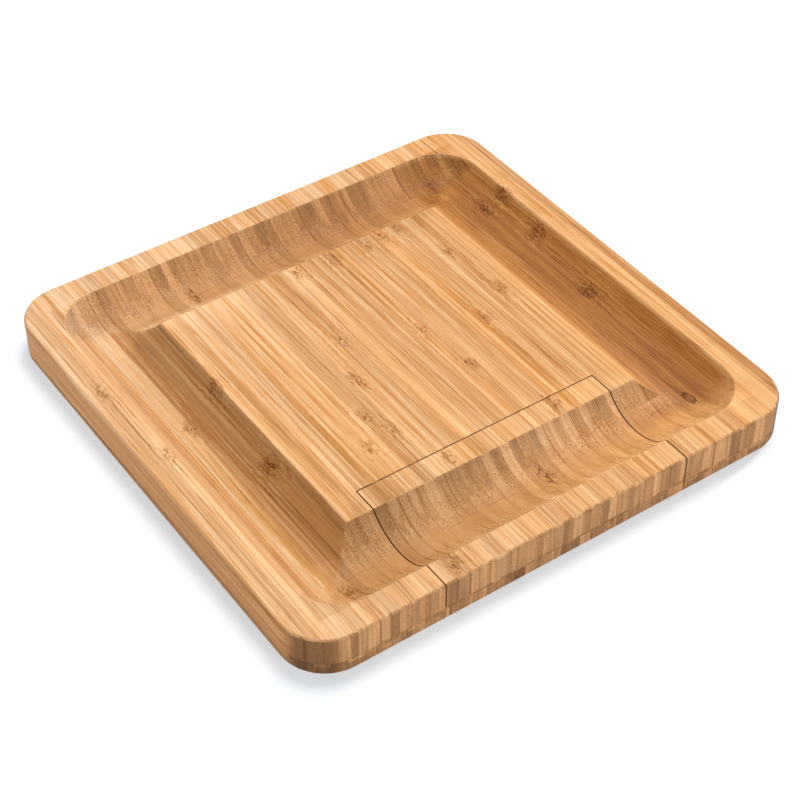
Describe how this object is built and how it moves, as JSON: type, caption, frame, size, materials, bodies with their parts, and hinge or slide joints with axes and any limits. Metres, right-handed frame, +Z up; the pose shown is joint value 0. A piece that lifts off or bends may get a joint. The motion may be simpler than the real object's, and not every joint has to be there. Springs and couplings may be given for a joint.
{
  "type": "cheese board with drawer",
  "caption": "Square bamboo cheese board with a round-bottomed moat around a raised square and a front drawer that slides out with cheese knives in fitted pockets.",
  "frame": {"origin": "centre of the square underside, on the surface that the board stands on", "axes": "+Z up, the drawer pulls out towards -Y, the bamboo strips run along Y, +X to the right of someone facing the drawer"},
  "size_m": [0.33, 0.33, 0.026],
  "materials": {
    "bamboo_top": "oiled",
    "bamboo_base": "oiled",
    "bamboo_strip": "oiled",
    "bamboo_handle": "oiled",
    "blade_steel": "satin",
    "ferrule_steel": "polished"
  },
  "bodies": {
    "board": {"deck_board": "bamboo_top", "bottom_board": "bamboo_base", "left_runner": "bamboo_strip", "right_runner": "bamboo_strip"},
    "drawer": {"drawer_top": "bamboo_top", "drawer_floor": "bamboo_base", "chisel_blade": "blade_steel", "chisel_ferrule": "ferrule_steel", "chisel_handle": "bamboo_handle", "spade_blade": "blade_steel", "spade_ferrule": "ferrule_steel", "spade_handle": "bamboo_handle", "fork_blade": "blade_steel", "fork_ferrule": "ferrule_steel", "fork_handle": "bamboo_handle", "slicer_blade": "blade_steel", "slicer_ferrule": "ferrule_steel", "slicer_handle": "bamboo_handle"}
  },
  "joints": [
    {"name": "drawer_slide", "type": "slide", "parent": "board", "child": "drawer", "axis": [0, -1, 0], "range_m": [0, 0.158]}
  ]
}
